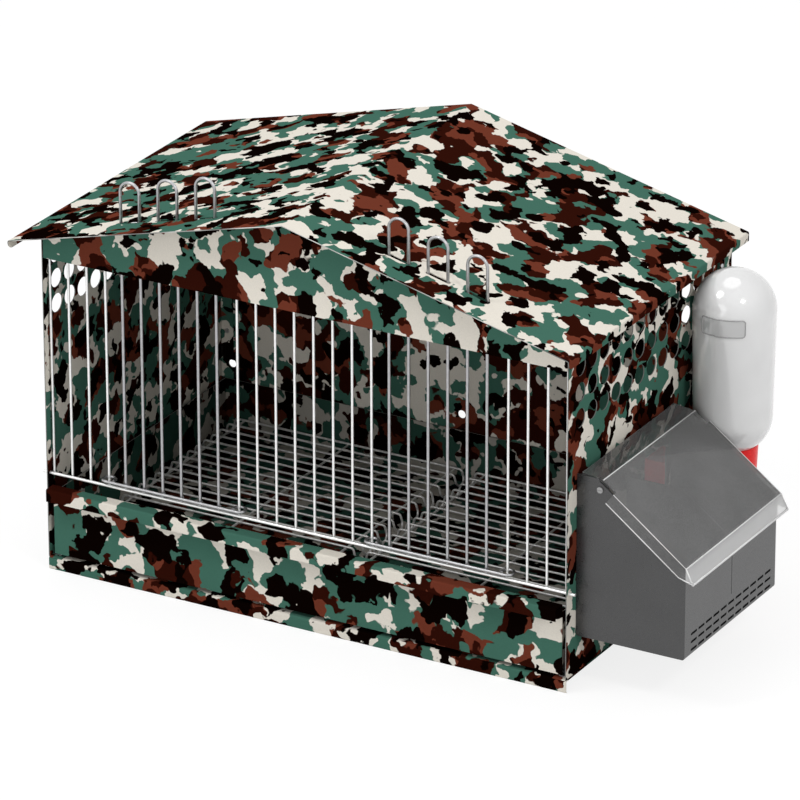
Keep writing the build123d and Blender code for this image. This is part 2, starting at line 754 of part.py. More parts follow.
def drinker_base():
    """Socket for the bottle's neck, with a trough through the wall and a collar against it."""
    bore = bottle_neck_radius + socket_clearance
    outside = outline_of([(0, trough_bottom), (socket_foot_radius, trough_bottom),
                          (socket_rim_radius, socket_rim), (0, socket_rim)])
    socket = Pos(bottle_x, bottle_y, 0) * revolve(Plane.XZ * make_face(outside), Axis.Z)
    half = trough_width / 2
    near, far = bottle_y - half, bottle_y + half
    tip = wall_inner - trough_inside
    trough = block((tip, bottle_x), (near, far), (trough_bottom, trough_rim))
    collar_x = half_width + slide_gap
    border = trough_clearance + collar_border
    collar = block((collar_x, collar_x + collar_thickness), (near - border, far + border),
                   (trough_bottom - border, trough_rim + border))
    floor = trough_bottom + socket_floor
    bore_tool = Pos(bottle_x, bottle_y, floor) * Cylinder(bore, socket_rim - floor + bore,
                                                          align=(Align.CENTER, Align.CENTER, Align.MIN))
    covered = block((wall_inner - trough_wall, bottle_x), (near + trough_wall, far - trough_wall),
                    (floor, trough_rim - trough_wall))
    open_end = block((tip + trough_wall, wall_inner - trough_wall), (near + trough_wall, far - trough_wall),
                     (floor, trough_rim + trough_wall))
    return socket + trough + collar - bore_tool - covered - open_end


def base_rivets():
    """Rivets through runner foot, wall flange and base plate."""
    return group(place * rivet(3 * sheet) for place in both_base_rivets())


def back_wall_rivets():
    """Rivets through the back wall and the side walls' rear flanges."""
    return group(place * rivet(2 * sheet) for place in both_back_rivets())


# Every piece by its name
tray_inside_left = sheet - tray_half
tray_inside_right = tray_half - sheet
grid_span = (tray_inside_right - tray_inside_left - grid_left_gap - grid_middle_gap - grid_right_gap) / 2
left_grid_start = tray_inside_left + grid_left_gap
right_grid_start = left_grid_start + grid_span + grid_middle_gap
pieces = {
    "base_plate": base_plate(),
    "left_wall": side_wall(-1),
    "right_wall": right_wall(),
    "back_wall": back_wall(),
    "front_gable": front_gable(),
    "roof": roof(),
    "tray_runner_left": tray_runner(-1),
    "tray_runner_right": tray_runner(1),
    "droppings_tray": droppings_tray(),
    "tray_front": tray_front(),
    "left_floor_grid": floor_grid(left_grid_start, left_grid_start + grid_span),
    "right_floor_grid": floor_grid(right_grid_start, right_grid_start + grid_span),
    "front_bars": front_bars(),
    "grille_bottom_wire": grille_bottom_wire(),
    "grille_top_wire": grille_top_wire(),
    "left_door_bottom_wire": door_bottom_wire(left_door_guide),
    "right_door_bottom_wire": door_bottom_wire(right_door_guide),
    "feeder_body": feeder_body(),
    "feeder_divider": feeder_divider(),
    "feeder_lid": feeder_lid(),
    "feeder_lid_pins": feeder_lid_pins(),
    "drinker_bottle": drinker_bottle(),
    "drinker_base": drinker_base(),
    "base_rivets": base_rivets(),
    "back_wall_rivets": back_wall_rivets(),
}
for name, bars, order in (("left_door", left_door_bars, ("outer", "middle", "inner")),
                          ("right_door", right_door_bars, ("inner", "middle", "outer"))):
    for place, number in zip(order, bars[::2]):
        pieces[f"{name}_hoop_{place}"] = door_hoop(number)

# The origin goes to the middle of the whole box, on the ground
whole = group(pieces.values()).bounding_box()
to_origin = Pos(-whole.center().X, -whole.center().Y, -whole.min.Z)
print("origin in the modelling frame:", whole.center().X, whole.center().Y, whole.min.Z)

os.makedirs("parts", exist_ok=True)
for name, shape in pieces.items():
    export_step(to_origin * shape, f"parts/{name}.step")
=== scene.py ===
import bmesh
import bpy
from math import cos, radians, sin, sqrt
from mathutils import Matrix, Vector


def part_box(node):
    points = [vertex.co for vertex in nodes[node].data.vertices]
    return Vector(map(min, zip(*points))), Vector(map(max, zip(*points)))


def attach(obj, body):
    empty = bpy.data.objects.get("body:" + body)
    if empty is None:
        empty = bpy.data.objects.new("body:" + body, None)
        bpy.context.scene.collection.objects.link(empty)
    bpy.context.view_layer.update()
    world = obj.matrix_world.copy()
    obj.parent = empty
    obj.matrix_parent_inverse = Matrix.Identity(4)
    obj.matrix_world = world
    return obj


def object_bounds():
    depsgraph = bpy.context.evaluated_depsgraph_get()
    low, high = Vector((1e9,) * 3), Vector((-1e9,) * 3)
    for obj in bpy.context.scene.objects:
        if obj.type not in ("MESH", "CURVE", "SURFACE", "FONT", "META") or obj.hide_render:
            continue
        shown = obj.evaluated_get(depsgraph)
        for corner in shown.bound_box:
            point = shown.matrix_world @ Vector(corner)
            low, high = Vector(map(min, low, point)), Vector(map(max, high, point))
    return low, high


# Small livestock cage: finishes, small pieces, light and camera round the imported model.
# Everything is in metres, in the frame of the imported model. Colours are linear.
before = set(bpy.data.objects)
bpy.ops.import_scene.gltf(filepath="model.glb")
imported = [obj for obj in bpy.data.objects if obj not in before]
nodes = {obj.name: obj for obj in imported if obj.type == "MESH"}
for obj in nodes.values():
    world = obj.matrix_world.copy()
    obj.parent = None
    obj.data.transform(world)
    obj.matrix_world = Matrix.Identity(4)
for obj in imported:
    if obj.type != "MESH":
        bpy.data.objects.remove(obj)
cad_low, cad_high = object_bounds()


def grey(level):
    """Neutral colour of one level."""
    return (level, level, level, 1)


# Axes and the two ends of a box
X, Y, Z = 0, 1, 2
LOW, HIGH = 0, 1
WHITE = grey(1)

# Camera of the photograph, found by fitting the model's corners to the picture
PICTURE_PIXELS = 800
FOCAL_PIXELS = 6621.1
SENSOR = 36.0
CLIP_END = 100.0
VIEW_AZIMUTH = radians(29.52)
VIEW_ELEVATION = radians(23.315)
VIEW_ROLL = radians(-0.098)
VIEW_DISTANCE = 6.6994
VIEW_TARGET = Vector((-0.03919, 0.0125, 0.1911))

# Lamps: part to the right of the camera, part upwards, part towards the camera, distance, size and power
LAMPS = {
    "key": (-0.54, 0.62, 0.56, 2.6, 0.85, 14.0),
    "fill": (0.41, 0.32, 0.86, 2.8, 0.40, 13.0),
    "top": (0.00, 0.96, 0.28, 2.4, 1.60, 10.0),
    "front": (-0.60, -0.05, 0.80, 2.8, 1.70, 9.0),
}
WORLD_STRENGTH = 0.62

# Floor: half its width, its paleness, and the share and strength of its own glow where it is seen
FLOOR_HALF = 30.0
FLOOR_ALBEDO = 0.82
FLOOR_GLOW = 0.72
FLOOR_LEVEL = 1.14

# Print colours of the sheet, the bare metal of its cut edges, a painted highlight for the roof's lit front
# edge, and the noise that mottles the two
CREAM = (0.760, 0.715, 0.635, 1)
GREEN = (0.056, 0.150, 0.112, 1)
BROWN = (0.150, 0.036, 0.020, 1)
DARK_BROWN = (0.028, 0.0050, 0.0026, 1)
BLACK = (0.0030, 0.0010, 0.0006, 1)
RAW_EDGE = (0.20, 0.20, 0.19, 1)
# Painted highlight: pale tone of the roof's front cut edge, standing in for light caught by that edge
PAINTED_HIGHLIGHT_EDGE = (0.72, 0.71, 0.68, 1)
EDGE_HIGHLIGHT_MOTTLE_SCALE = 26.0
EDGE_HIGHLIGHT_MOTTLE = (0.40, 0.62)

# Print layers: cells per metre and shift of each, and the noise value at which it gives way to the next
GROUND_SCALE = 31.0
SHAPE_SCALE = 28.0
TONE_SCALE = 33.0
BLACK_SCALE = 36.0
PRINT_DETAIL = 1.7
SHAPE_SHIFT = (3.1, 1.7, 5.3)
TONE_SHIFT = (7.9, 4.3, 2.1)
BLACK_SHIFT = (1.3, 6.1, 8.7)
GREEN_FROM = 0.495
SHAPES_FROM = 0.545
DARK_FROM = 0.465
BLACK_FROM = 0.568
PRINT_EDGE = 0.004

# Wobble and fraying of the print's outlines: cells per metre and reach
OUTLINE_SWINGS = ((75.0, 0.013), (210.0, 0.0042))
NOISE_MIDDLE = (0.5, 0.5, 0.5)

# Place of each sheet in the print
PRINT_PLACES = {
    "print_roof": (3.1, 5.8, 6.6),
    "print_gable": (0.1, 4.8, 2.5),
    "print_left_wall": (0.0, 6.1, 3.0),
    "print_right_wall": (8.4, 8.5, 3.1),
    "print_back_wall": (3.2, 4.7, 7.0),
    "print_base": (3.4, 0.7, 0.9),
    "print_drawer_front": (2.5, 8.2, 6.9),
    "print_drawer": (5.6, 0.3, 1.4),
}
DRAWER_FRONT_SIZE = 1.25
# Painted shade: the droppings tray's print is darkened to half for the shade deep inside the cage
DRAWER_PAINTED_SHADE = 0.5

# Half the depth of the slab in which a sheet's cut edge is sought, and how squarely a face has to lie
SHEET_REACH = 0.0011
FACING_LIMIT = 0.6

# Surface of the printed sheet: cells per metre of its mottle, waves and orange peel
MOTTLE_SCALE = 900.0
WAVE_SCALE = 9.0
PEEL_SCALE = 1400.0
PEEL_SHARE = 0.02

# Ranges of noise that are carried to a tone or a roughness
WIDE_NOISE = (0.2, 0.8)
MID_NOISE = (0.3, 0.7)
TIGHT_NOISE = (0.35, 0.65)

# Wire: cells per metre of clouds and streaks, how long the streaks are drawn, and their shares
WIRE_CLOUD_SCALE = 260.0
WIRE_STREAK_SCALE = 2600.0
WIRE_STREAK_DRAWN = 0.06
WIRE_CLOUD_SHARE = 0.6
WIRE_STREAK_SHARE = 0.4

# Wire finishes: light and dark tone, roughness and share of bare metal
WIRE_FINISHES = {
    "zinc_bars": ((0.97, 0.97, 0.96, 1), (0.86, 0.86, 0.85, 1), 0.36, 0.75),
    "zinc_doors": ((0.50, 0.50, 0.51, 1), (0.38, 0.38, 0.39, 1), 0.36, 1.0),
    # Floor grids: zinc tones darkened with painted shade for the inside of the cage, with less bare metal
    # than the bars
    "zinc_floor_in_painted_shade": ((0.82, 0.81, 0.79, 1), (0.58, 0.58, 0.57, 1), 0.36, 0.45),
    "pin_metal": (grey(0.42), grey(0.30), 0.40, 1.0),
    "rivet_metal": ((0.78, 0.78, 0.79, 1), (0.60, 0.60, 0.61, 1), 0.34, 1.0),
    "weld_metal": (grey(0.70), (0.50, 0.50, 0.51, 1), 0.42, 1.0),
}

# Bare sheet: cells per metre of the spangle, and its two tones
SPANGLE_SCALE = 140.0
SPANGLE_TONES = ((0.42, 0.43, 0.44, 1), (0.62, 0.63, 0.64, 1))

# Moulded plastics: darker and paler tone, roughness and specular level
PLASTICS = {
    "feeder_grey": ((0.018, 0.018, 0.019, 1), (0.023, 0.023, 0.024, 1), 0.30, 0.85),
    "drinker_red": ((0.90, 0.010, 0.012, 1), (0.95, 0.014, 0.015, 1), 0.30, 0.20),
    # Painted shade: grey of the bottle plate's raised border, standing in for the shadow lines along the
    # plate's edge
    "plate_border_painted_shade": (grey(0.30), grey(0.38), 0.2, 0.5),
}
PLASTIC_CLOUD_SCALE = 22.0
FINE_GRAIN = 850.0

# Clear plastic of the lid: tones of the panel and the lip, and their share of light let through
CLEAR_IOR = 1.47
PANEL_TONES = (grey(0.34), grey(0.42))
LIP_TONE = grey(0.90)
PANEL_CLEAR = 0.80
LIP_CLEAR = 0.64
LIP_EDGE = 0.0004
HAZE_SCALE = 30.0
# Painted highlights along the lid's edges: near-white tone, share of light let through, and grain
RIM_HIGHLIGHT_TONE = grey(0.95)
RIM_CLEAR = 0.20
RIM_GRAIN = 700.0

# Bottle: tones of the milky wall and the raised plate, and cells per metre of clouds and grain
MILKY_TONES = (grey(0.70), grey(0.79))
PLATE_TONE = grey(0.52)
BOTTLE_CLOUD_SCALE = 14.0
BOTTLE_GRAIN = 900.0
BOTTLE_GLOW = (0.004, 0.004, 0.004)
PLATE_START = 0.0002
PLATE_EDGE = 0.00005

# Bare plate on the bottle: size, corner radius, rise, drop below the bottle's top and turn round its axis
PLATE_LENGTH = 0.0450
PLATE_HEIGHT = 0.0180
PLATE_CORNER = 0.0030
PLATE_RISE = 0.0008
PLATE_BELOW_TOP = 0.0470
PLATE_TURN = radians(9.5)
PLATE_BORDER = 0.0006
EDGE_STEPS = 12
CORNER_STEPS = 6

# Lid: place of the hinge pin, slope, and the lid's lines as steps along the slope and square to it
PIN_X = 0.2698
PIN_Z = 0.2180
LID_SLOPE = radians(37.25)
LID_UPPER = 0.0088
LID_MIDDLE = 0.0077
LID_SKIRT_LOW = -0.0047
LID_CREASE = -0.0044
LID_WIDE_START = 0.0130
LID_BEND = 0.1142
LID_TIP = (0.1293, 0.0010)
LID_ENDS = (-0.1415, 0.0645)
CREASE_ENDS = (-0.1357, 0.0587)

# Radii of the thin rods that paint highlights along the lid's edges
CREASE_RIM = 0.0006
BEND_RIM = 0.0006
TIP_RIM = 0.0014
SKIRT_RIM = 0.0006
UPPER_RIM = 0.0004
LIP_RIM = 0.0007
RIM_SIDES = 12

# Wire doors and weld beads
SIDES = ("left", "right")
DOOR_HOOPS = ("outer", "middle", "inner")
WELD_SIZE = (0.0017, 0.0015, 0.0015)
WELD_SIDES = 10
WELD_RINGS = 6
SAME_PLACE = 1e-6


class Shader:
    """One node material, with short calls for the nodes that this scene uses."""

    def __init__(self, name):
        self.material = bpy.data.materials.new(name)
        self.material.use_nodes = True
        self.tree = self.material.node_tree
        self.surface = self.tree.nodes["Principled BSDF"]

    def node(self, kind, **settings):
        made = self.tree.nodes.new(kind)
        for key, value in settings.items():
            setattr(made, key, value)
        return made

    def feed(self, socket, value):
        """Links a node's output to a socket, or sets the socket to a plain value."""
        if isinstance(value, bpy.types.NodeSocket):
            self.tree.links.new(value, socket)
        else:
            socket.default_value = value

    def set(self, **values):
        """Values of the surface's sockets; a name's underscores stand for spaces."""
        for key, value in values.items():
            self.feed(self.surface.inputs[key.replace("_", " ")], value)

    def place(self, offset=(0, 0, 0), scale=1.0, upright=1.0):
        """Position on the piece, in metres, moved and scaled, with a scale of its own for the height."""
        coordinates = self.node("ShaderNodeTexCoord")
        mapping = self.node("ShaderNodeMapping")
        self.feed(mapping.inputs["Vector"], coordinates.outputs["Object"])
        mapping.inputs["Location"].default_value = offset
        mapping.inputs["Scale"].default_value = (scale, scale, scale * upright)
        return mapping.outputs["Vector"]

    def noise(self, place, scale, detail=2.0, colour=False):
        made = self.node("ShaderNodeTexNoise")
        self.feed(made.inputs["Vector"], place)
        made.inputs["Scale"].default_value = scale
        made.inputs["Detail"].default_value = detail
        return made.outputs["Color" if colour else 0]

    def cells(self, place, scale):
        """Random grey value for each cell of a Voronoi pattern."""
        made = self.node("ShaderNodeTexVoronoi")
        self.feed(made.inputs["Vector"], place)
        made.inputs["Scale"].default_value = scale
        split = self.node("ShaderNodeSeparateColor")
        self.feed(split.inputs["Color"], made.outputs["Color"])
        return split.outputs["Red"]

    def math(self, operation, first, second=0.0):
        made = self.node("ShaderNodeMath", operation=operation)
        self.feed(made.inputs[0], first)
        self.feed(made.inputs[1], second)
        return made.outputs[0]

    def vector(self, operation, first, second):
        made = self.node("ShaderNodeVectorMath", operation=operation)
        self.feed(made.inputs[0], first)
        self.feed(made.inputs[1], second)
        return made.outputs[0]

    def length(self, vector):
        made = self.node("ShaderNodeVectorMath", operation="LENGTH")
        self.feed(made.inputs[0], vector)
        return made.outputs["Value"]

    def span(self, value, low, high, to_low=0.0, to_high=1.0):
        """Value between low and high carried to another range."""
        made = self.node("ShaderNodeMapRange")
        self.feed(made.inputs["Value"], value)
        made.inputs["From Min"].default_value = low
        made.inputs["From Max"].default_value = high
        made.inputs["To Min"].default_value = to_low
        made.inputs["To Max"].default_value = to_high
        return made.outputs["Result"]

    def over(self, value, edge, width=PRINT_EDGE):
        """One where the value is over an edge, zero under it, with a narrow ramp."""
        return self.span(value, edge - width, edge + width)

    def mix(self, factor, first, second, blend="MIX"):
        made = self.node("ShaderNodeMix", data_type="RGBA", blend_type=blend)
        self.feed(made.inputs["Factor"], factor)
        self.feed(made.inputs[6], first)
        self.feed(made.inputs[7], second)
        return made.outputs[2]

    def bump(self, height, strength, distance):
        made = self.node("ShaderNodeBump")
        made.inputs["Strength"].default_value = strength
        made.inputs["Distance"].default_value = distance
        self.feed(made.inputs["Height"], height)
        return made.outputs["Normal"]

    def normal_part(self, axis):
        """Size of the face normal's part along one axis."""
        geometry = self.node("ShaderNodeNewGeometry")
        split = self.node("ShaderNodeSeparateXYZ")
        self.feed(split.inputs[0], geometry.outputs["True Normal"])
        return self.math("ABSOLUTE", split.outputs[axis])

    def place_part(self, axis):
        """One coordinate of the position on the piece, in metres."""
        coordinates = self.node("ShaderNodeTexCoord")
        split = self.node("ShaderNodeSeparateXYZ")
        self.feed(split.inputs[0], coordinates.outputs["Object"])
        return split.outputs[axis]


def lid_place(along, above, y):
    """Place on the closed lid from steps along its slope and square to it, counted from the pin."""
    return Vector((PIN_X + along * cos(LID_SLOPE) + above * sin(LID_SLOPE), y,
                   PIN_Z - along * sin(LID_SLOPE) + above * cos(LID_SLOPE)))


def camouflage(shader, offset, size):
    """Five-colour woodland print: cream and green ground under brown, dark and black shapes."""
    place = shader.place(offset, 1 / size)
    for scale, reach in OUTLINE_SWINGS:
        swing = shader.noise(place, scale, detail=1.0, colour=True)
        swing = shader.vector("SUBTRACT", swing, NOISE_MIDDLE)
        swing = shader.vector("MULTIPLY", swing, (reach, reach, reach))
        place = shader.vector("ADD", place, swing)
    ground = shader.noise(place, GROUND_SCALE, PRINT_DETAIL)
    shapes = shader.noise(shader.vector("ADD", place, SHAPE_SHIFT), SHAPE_SCALE, PRINT_DETAIL)
    tones = shader.noise(shader.vector("ADD", place, TONE_SHIFT), TONE_SCALE, PRINT_DETAIL)
    specks = shader.noise(shader.vector("ADD", place, BLACK_SHIFT), BLACK_SCALE, PRINT_DETAIL)
    paper = shader.mix(shader.over(ground, GREEN_FROM), CREAM, GREEN)
    ink = shader.mix(shader.over(tones, DARK_FROM), BROWN, DARK_BROWN)
    colour = shader.mix(shader.over(shapes, SHAPES_FROM), paper, ink)
    return shader.mix(shader.over(specks, BLACK_FROM), colour, BLACK)


def slab_of(node, axis, first, last):
    """Slab across an axis, from one end of a node's box to another and a little past both."""
    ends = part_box(node)
    return axis, ends[first][axis] - SHEET_REACH, ends[last][axis] + SHEET_REACH


def printed_sheet(name, slab=None, faces_along=False, bare_or_highlight_edge=RAW_EDGE, shade=1.0, size=1.0):
    """Printed steel sheet; raw metal shows in a slab, on faces that face its axis or lie along it, mottled
    with a painted highlight where a pale edge tone is given; a shade under one darkens the whole print as
    painted shade.
    """
    shader = Shader(name)
    colour = camouflage(shader, PRINT_PLACES[name], size)
    place = shader.place()
    mottle = shader.noise(place, MOTTLE_SCALE)
    # Painted shade: a shade under one darkens the whole print
    grain = shader.span(mottle, *WIDE_NOISE, 0.93 * shade, 1.05 * shade)
    colour = shader.mix(1.0, colour, grain, "MULTIPLY")
    if slab is not None:
        axis, low, high = slab
        along = shader.place_part(axis)
        inside = shader.math("MULTIPLY", shader.math("GREATER_THAN", along, low),
                             shader.math("LESS_THAN", along, high))
        side = "GREATER_THAN" if faces_along else "LESS_THAN"
        facing = shader.math(side, shader.normal_part(axis), FACING_LIMIT)
        # Mottle between raw metal and the given edge tone; on the roof it breaks the painted highlight into
        # patches, elsewhere both tones are raw metal
        raw_and_highlight_mottle = shader.noise(place, EDGE_HIGHLIGHT_MOTTLE_SCALE)
        metal = shader.mix(shader.span(raw_and_highlight_mottle, *EDGE_HIGHLIGHT_MOTTLE), RAW_EDGE, bare_or_highlight_edge)
        colour = shader.mix(shader.math("MULTIPLY", inside, facing), colour, metal)
    waves = shader.noise(place, WAVE_SCALE, detail=1.0)
    peel = shader.noise(place, PEEL_SCALE, detail=1.0)
    relief = shader.math("ADD", waves, shader.math("MULTIPLY", peel, PEEL_SHARE))
    shader.set(Base_Color=colour, Roughness=shader.span(mottle, *WIDE_NOISE, 0.42, 0.56),
               Specular_IOR_Level=0.0, Normal=shader.bump(relief, 0.25, 0.0015))
    return shader.material


def zinc_wire(name):
    """Drawn galvanised wire: streaky, slightly clouded zinc."""
    light, dark, roughness, metallic = WIRE_FINISHES[name]
    shader = Shader(name)
    cloud = shader.noise(shader.place(), WIRE_CLOUD_SCALE, detail=3.0)
    streak = shader.noise(shader.place(upright=WIRE_STREAK_DRAWN), WIRE_STREAK_SCALE)
    tone = shader.math("ADD", shader.math("MULTIPLY", cloud, WIRE_CLOUD_SHARE),
                       shader.math("MULTIPLY", streak, WIRE_STREAK_SHARE))
    shader.set(Base_Color=shader.mix(shader.span(tone, *TIGHT_NOISE), dark, light), Metallic=metallic,
               Roughness=shader.span(cloud, *MID_NOISE, roughness - 0.06, roughness + 0.10),
               Normal=shader.bump(tone, 0.12, 0.0004))
    return shader.material


def zinc_sheet(name):
    """Bare galvanised sheet with spangle."""
    shader = Shader(name)
    spangle = shader.cells(shader.place(), SPANGLE_SCALE)
    shader.set(Base_Color=shader.mix(spangle, *SPANGLE_TONES), Metallic=1.0,
               Roughness=shader.span(spangle, 0, 1, 0.32, 0.5))
    return shader.material


def moulded_plastic(name):
    """Moulded plastic with a fine matt grain."""
    darker, paler, roughness, specular = PLASTICS[name]
    shader = Shader(name)
    place = shader.place()
    cloud = shader.noise(place, PLASTIC_CLOUD_SCALE, detail=3.0)
    grain = shader.noise(place, FINE_GRAIN)
    tone = shader.mix(shader.span(cloud, *TIGHT_NOISE), darker, paler)
    shader.set(Base_Color=shader.mix(1.0, tone, shader.span(grain, *MID_NOISE, 0.84, 1.16), "MULTIPLY"),
               Roughness=shader.span(grain, *MID_NOISE, roughness - 0.05, roughness + 0.07),
               Specular_IOR_Level=specular, Normal=shader.bump(grain, 0.18, 0.0004))
    return shader.material


def smoked_clear(name):
    """Smoked clear plastic of the lid: hazy grained panel, paler front lip."""
    shader = Shader(name)
    place = shader.place()
    grain = shader.noise(place, FINE_GRAIN)
    haze = shader.noise(place, HAZE_SCALE, detail=3.0)
    lip = shader.over(shader.place_part(X), lid_place(LID_BEND, LID_MIDDLE, 0).x, LIP_EDGE)
    tint = shader.mix(shader.span(haze, *MID_NOISE), *PANEL_TONES)
    tint = shader.mix(1.0, tint, shader.span(grain, *MID_NOISE, 0.80, 1.20), "MULTIPLY")
    shader.set(Base_Color=shader.mix(lip, tint, LIP_TONE), IOR=CLEAR_IOR,
               Roughness=shader.span(grain, *MID_NOISE, 0.01, 0.04),
               Transmission_Weight=shader.span(lip, 0, 1, PANEL_CLEAR, LIP_CLEAR),
               Normal=shader.bump(haze, 0.05, 0.0004))
    return shader.material


def highlight_rim(name):
    """Painted highlight: near-white rounded rod of mostly opaque clear plastic, standing in for light
    caught by an edge.
    """
    shader = Shader(name)
    grain = shader.noise(shader.place(), RIM_GRAIN)
    shader.set(Base_Color=RIM_HIGHLIGHT_TONE, IOR=CLEAR_IOR, Transmission_Weight=RIM_CLEAR,
               Roughness=shader.span(grain, *MID_NOISE, 0.12, 0.22))
    return shader.material


def bottle_axis():
    """Bottle's radius, and the top of its axis."""
    low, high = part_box("drinker_bottle")
    radius = (high.x - low.x) / 2
    return radius, Vector((low.x + radius, high.y - radius, high.z))


def bottle_plastic(name):
    """Milky glossy bottle, a little darker on the raised plate, which lies further from the axis."""
    radius, axis = bottle_axis()
    shader = Shader(name)
    place = shader.place()
    from_axis = shader.vector("SUBTRACT", place, (axis.x, axis.y, 0))
    flat = shader.vector("MULTIPLY", from_axis, (1, 1, 0))
    plate = shader.over(shader.length(flat), radius + PLATE_START, PLATE_EDGE)
    cloud = shader.noise(place, BOTTLE_CLOUD_SCALE)
    grain = shader.noise(place, BOTTLE_GRAIN)
    milky = shader.mix(shader.span(cloud, *MID_NOISE), *MILKY_TONES)
    shader.set(Base_Color=shader.mix(plate, milky, PLATE_TONE), IOR=1.5,
               Roughness=shader.span(grain, *MID_NOISE, 0.10, 0.20),
               Subsurface_Weight=0.12, Subsurface_Radius=BOTTLE_GLOW, Subsurface_Scale=1.0,
               Coat_Weight=1.0, Coat_IOR=1.65, Coat_Roughness=0.03,
               Normal=shader.bump(grain, 0.06, 0.0003))
    return shader.material


def dress(material, *names):
    """Gives a finish to CAD nodes by name."""
    for name in names:
        piece = nodes[name]
        if piece.material_slots:
            for slot in piece.material_slots:
                slot.link = "OBJECT"
                slot.material = material
        else:
            piece.data.materials.append(material)


def dress_sheets():
    """Finishes of the sheet-metal nodes."""
    # The roof's front edge gets a painted highlight, mottled with raw metal
    dress(printed_sheet("print_roof", slab_of("roof", Y, LOW, LOW), faces_along=True,
                        bare_or_highlight_edge=PAINTED_HIGHLIGHT_EDGE), "roof")
    dress(printed_sheet("print_gable"), "front_gable")
    dress(printed_sheet("print_left_wall", slab_of("left_wall", X, LOW, LOW)), "left_wall")
    dress(printed_sheet("print_right_wall", slab_of("right_wall", X, HIGH, HIGH)), "right_wall")
    dress(printed_sheet("print_back_wall", slab_of("back_wall", Y, LOW, HIGH)), "back_wall")
    dress(printed_sheet("print_base"), "base_plate")
    dress(printed_sheet("print_drawer_front", size=DRAWER_FRONT_SIZE), "tray_front")
    # Painted shade darkens the droppings tray's print
    dress(printed_sheet("print_drawer", slab_of("droppings_tray", Z, HIGH, HIGH), faces_along=True,
                        shade=DRAWER_PAINTED_SHADE), "droppings_tray")
    dress(zinc_sheet("zinc_runner"), "tray_runner_left", "tray_runner_right")


def dress_wires():
    """Finishes of the wires, pins and rivets."""
    dress(zinc_wire("zinc_bars"), "front_bars", "grille_bottom_wire", "grille_top_wire")
    # Floor grids: wire finish darkened with painted shade
    dress(zinc_wire("zinc_floor_in_painted_shade"), "left_floor_grid", "right_floor_grid")
    doors = zinc_wire("zinc_doors")
    for side in SIDES:
        dress(doors, f"{side}_door_bottom_wire", *(f"{side}_door_hoop_{place}" for place in DOOR_HOOPS))
    dress(zinc_wire("pin_metal"), "feeder_lid_pins")
    dress(zinc_wire("rivet_metal"), "base_rivets", "back_wall_rivets")


def dress_plastics():
    """Finishes of the feeder and the drinker."""
    dress(moulded_plastic("feeder_grey"), "feeder_body", "feeder_divider")
    dress(smoked_clear("lid_smoked"), "feeder_lid")
    dress(bottle_plastic("bottle_white"), "drinker_bottle")
    dress(moulded_plastic("drinker_red"), "drinker_base")


def add_piece(name, data, material, body):
    """Links a mesh or a curve as a piece that moves with a body."""
    data.materials.append(material)
    piece = bpy.data.objects.new(name, data)
    bpy.context.scene.collection.objects.link(piece)
    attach(piece, body)


def smooth_mesh(name, shape):
    """Mesh of a finished shape, shaded smooth."""
    mesh = bpy.data.meshes.new(name)
    shape.to_mesh(mesh)
    shape.free()
    for face in mesh.polygons:
        face.use_smooth = True
    return mesh


def rims(name, lines, material, body):
    """Thin round rods, one for each line: start, end and radius."""
    shape = bmesh.new()
    for start, end, radius in lines:
        along = end - start
        turn = along.to_track_quat("Z", "Y").to_matrix().to_4x4()
        bmesh.ops.create_cone(shape, cap_ends=True, segments=RIM_SIDES, radius1=radius, radius2=radius,
                              depth=along.length, matrix=Matrix.Translation((start + end) / 2) @ turn)
    add_piece(name, smooth_mesh(name, shape), material, body)


def weld_beads(name, places, material, body):
    """Small flattened beads of weld at the given places."""
    shape = bmesh.new()
    for place in places:
        matrix = Matrix.Translation(place) @ Matrix.Diagonal((*WELD_SIZE, 1))
        bmesh.ops.create_uvsphere(shape, u_segments=WELD_SIDES, v_segments=WELD_RINGS, radius=1.0,
                                  matrix=matrix)
    add_piece(name, smooth_mesh(name, shape), material, body)


def solid_boxes(name):
    """Boxes of a node's separate solids, as low and high corners."""
    shape = bmesh.new()
    shape.from_mesh(nodes[name].data)
    bmesh.ops.remove_doubles(shape, verts=shape.verts, dist=SAME_PLACE)
    waiting = set(shape.verts)
    boxes = []
    while waiting:
        queue = [waiting.pop()]
        corners = []
        while queue:
            corner = queue.pop()
            corners.append(corner.co.copy())
            for edge in corner.link_edges:
                other = edge.other_vert(corner)
                if other in waiting:
                    waiting.remove(other)
                    queue.append(other)
        boxes.append(tuple(Vector(pick(point[axis] for point in corners) for axis in range(3))
                           for pick in (min, max)))
    shape.free()
    return boxes


def middle(name):
    """Middle of a node's box."""
    low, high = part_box(name)
    return (low + high) / 2


def add_welds():
    """Weld beads where the upright wires meet the wires along the bottom of the grille and the doors."""
    metal = zinc_wire("weld_metal")
    wire = middle("grille_bottom_wire")
    crossings = []
    for low, high in solid_boxes("front_bars"):
        bar = (low + high) / 2
        crossings.append(Vector((bar.x, (bar.y + wire.y) / 2, wire.z)))
    weld_beads("weld_grille", crossings, metal, "cage")
    for side in SIDES:
        wire = middle(f"{side}_door_bottom_wire")
        crossings = []
        for place in DOOR_HOOPS:
            low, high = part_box(f"{side}_door_hoop_{place}")
            half = (high.y - low.y) / 2
            for x in (low.x + half, high.x - half):
                crossings.append(Vector((x, (low.y + half + wire.y) / 2, wire.z)))
        weld_beads(f"weld_{side}_door", crossings, metal, f"{side}_door")


